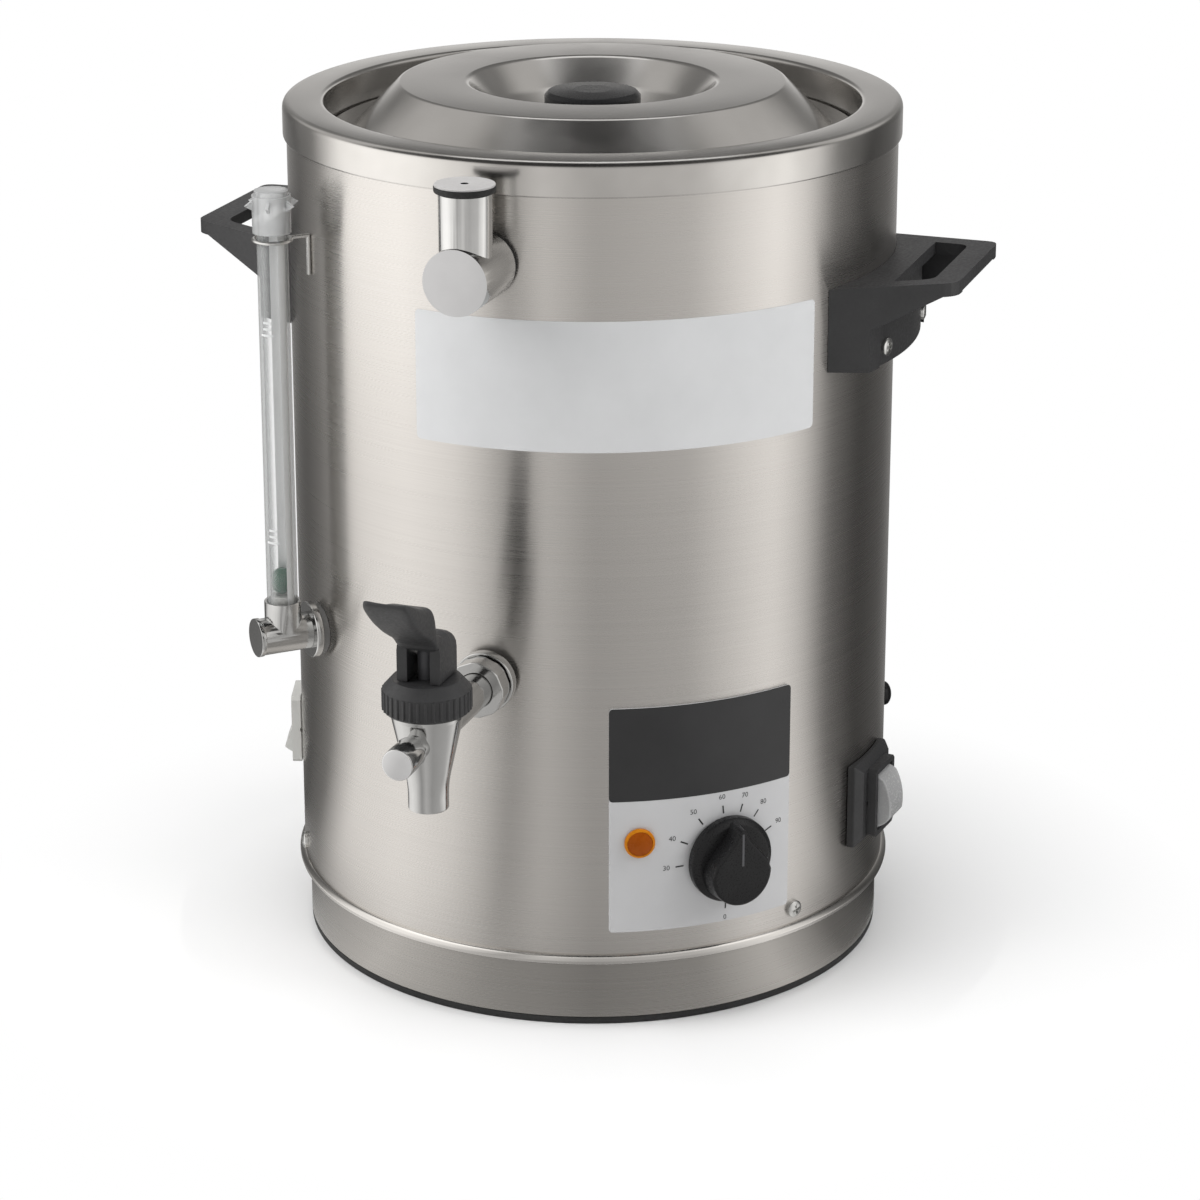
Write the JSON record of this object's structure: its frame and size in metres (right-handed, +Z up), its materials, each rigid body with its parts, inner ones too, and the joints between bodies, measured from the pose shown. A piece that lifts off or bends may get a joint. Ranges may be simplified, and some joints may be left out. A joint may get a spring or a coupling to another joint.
{
  "type": "hot chocolate dispenser",
  "caption": "Round steel countertop drink dispenser with a water-jacketed vat, lift-off lid, lever tap, level gauge, filler and thermostat dial.",
  "frame": {"origin": "on the body's axis, in the plane that the foot ring stands on", "axes": "+Z up; the tap points to -Y and the cable gland to +Y; seen from the tap, the gauge is on the left (-X) and the controls on the right (+X)"},
  "size_m": [0.326, 0.3725, 0.3644],
  "materials": {
    "brushed_shell": "fine brushed stainless steel",
    "polished_steel": "polished stainless steel",
    "inner_steel": "plain stainless steel",
    "screw_steel": "bright steel",
    "chrome": "polished chrome plate",
    "black_plastic": "black moulded plastic, fine grain",
    "dial_plastic": "black moulded plastic, satin",
    "rubber": "black rubber",
    "silicone": "translucent white silicone",
    "glass": "clear glass tube",
    "clear_plastic": "clear plastic",
    "float_green": "green plastic",
    "panel": "printed overlay, satin",
    "amber": "translucent amber lens",
    "grey_plastic": "grey translucent plastic",
    "pale_plastic": "pale grey plastic",
    "motor_metal": "dark coated metal",
    "copper": "drawn copper"
  },
  "bodies": {
    "housing": {"outer_shell": "brushed_shell", "base_ring": "brushed_shell", "top_rim": "polished_steel", "vat": "inner_steel", "jacket_floor": "inner_steel", "base_plate": "inner_steel", "insert_disc": "inner_steel", "tap_outlet": "inner_steel", "motor_bracket": "inner_steel", "heating_element": "inner_steel", "filler_nut": "inner_steel", "case_screws": "screw_steel", "gauge_clip": "screw_steel", "tap_spring": "screw_steel", "tap_body": "chrome", "tap_plug": "chrome", "tap_union_nut": "chrome", "tap_locknut": "chrome", "gauge_elbow": "chrome", "gauge_nut": "chrome", "filler_elbow": "chrome", "left_handle": "black_plastic", "right_handle": "black_plastic", "tap_collar": "black_plastic", "switch_frame": "black_plastic", "switch_housing": "black_plastic", "cable_gland": "black_plastic", "lamp_holder": "black_plastic", "foot_ring": "rubber", "tap_gasket": "rubber", "gauge_gasket": "rubber", "filler_gasket": "rubber", "gauge_seal": "silicone", "gauge_glass": "glass", "control_panel": "panel", "lamp_lens": "amber", "mixer_switch_housing": "pale_plastic", "mixer_motor": "motor_metal", "thermostat": "motor_metal", "overheat_cutout": "motor_metal", "thermostat_bulb": "copper"},
    "lid": {"lid_shell": "polished_steel", "lid_knob": "black_plastic", "lid_screw": "screw_steel"},
    "tap_valve": {"tap_stem": "screw_steel", "tap_seat_cup": "silicone", "tap_pivot_pin": "screw_steel"},
    "tap_handle": {"tap_lever": "black_plastic"},
    "dial": {"thermostat_knob": "dial_plastic", "thermostat_shaft": "screw_steel"},
    "main_switch": {"main_rocker": "grey_plastic"},
    "mixer_switch": {"mixer_rocker": "pale_plastic"},
    "reset": {"reset_button": "dial_plastic"},
    "float": {"gauge_float": "float_green"},
    "gauge_lid": {"gauge_cap": "clear_plastic"},
    "filler_lid": {"filler_cap": "chrome", "filler_seal": "rubber"},
    "mixer_drive": {"motor_shaft": "screw_steel", "drive_magnet": "motor_metal"},
    "mixer_rotor": {"stirrer": "pale_plastic"}
  },
  "joints": [
    {"name": "lid_lift", "type": "slide", "parent": "housing", "child": "lid", "axis": [0, 0, 1], "range_m": [0, 0.12]},
    {"name": "tap_valve_lift", "type": "slide", "parent": "housing", "child": "tap_valve", "axis": [0, 0, 1], "range_m": [0, 0.00366], "stiffness_N_per_m": 400, "springref_m": -0.004, "deforming": ["tap_spring"]},
    {"name": "tap_lever_tilt", "type": "hinge", "parent": "tap_valve", "child": "tap_handle", "pos_m": [0, -0.1915, 0.183], "axis": [1, 0, 0], "range_deg": [0, 35]},
    {"name": "thermostat_turn", "type": "hinge", "parent": "housing", "child": "dial", "pos_m": [0.08832, -0.08987, 0.07], "axis": [0.7009, -0.7133, 0], "range_deg": [-70, 170]},
    {"name": "main_rocker_tilt", "type": "hinge", "parent": "housing", "child": "main_switch", "pos_m": [0.12821, -0.01235, 0.072], "axis": [0.0958, 0.9954, 0], "range_deg": [0, 20]},
    {"name": "mixer_rocker_tilt", "type": "hinge", "parent": "housing", "child": "mixer_switch", "pos_m": [-0.11784, -0.03829, 0.083], "axis": [0.309, -0.9511, 0], "range_deg": [0, 20]},
    {"name": "reset_press", "type": "slide", "parent": "housing", "child": "reset", "axis": [-0.8988, -0.4384, 0], "range_m": [0, 0.0025], "stiffness_N_per_m": 400},
    {"name": "float_rise", "type": "slide", "parent": "housing", "child": "float", "axis": [0, 0, 1], "range_m": [0, 0.13]},
    {"name": "gauge_cap_lift", "type": "slide", "parent": "housing", "child": "gauge_lid", "axis": [0, 0, 1], "range_m": [0, 0.03]},
    {"name": "filler_cap_lift", "type": "slide", "parent": "housing", "child": "filler_lid", "axis": [0, 0, 1], "range_m": [0, 0.04]},
    {"name": "mixer_drive_spin", "type": "hinge", "parent": "housing", "child": "mixer_drive", "pos_m": [0, 0, 0.125], "axis": [0, 0, 1], "continuous": true},
    {"name": "stirrer_spin", "type": "hinge", "parent": "housing", "child": "mixer_rotor", "pos_m": [0, 0, 0.145], "axis": [0, 0, 1], "continuous": true}
  ],
  "couplings": [
    {"joint": "tap_lever_tilt", "follows": "tap_valve_lift", "rad_per_m": 166.67},
    {"joint": "stirrer_spin", "follows": "mixer_drive_spin", "ratio": 1}
  ]
}
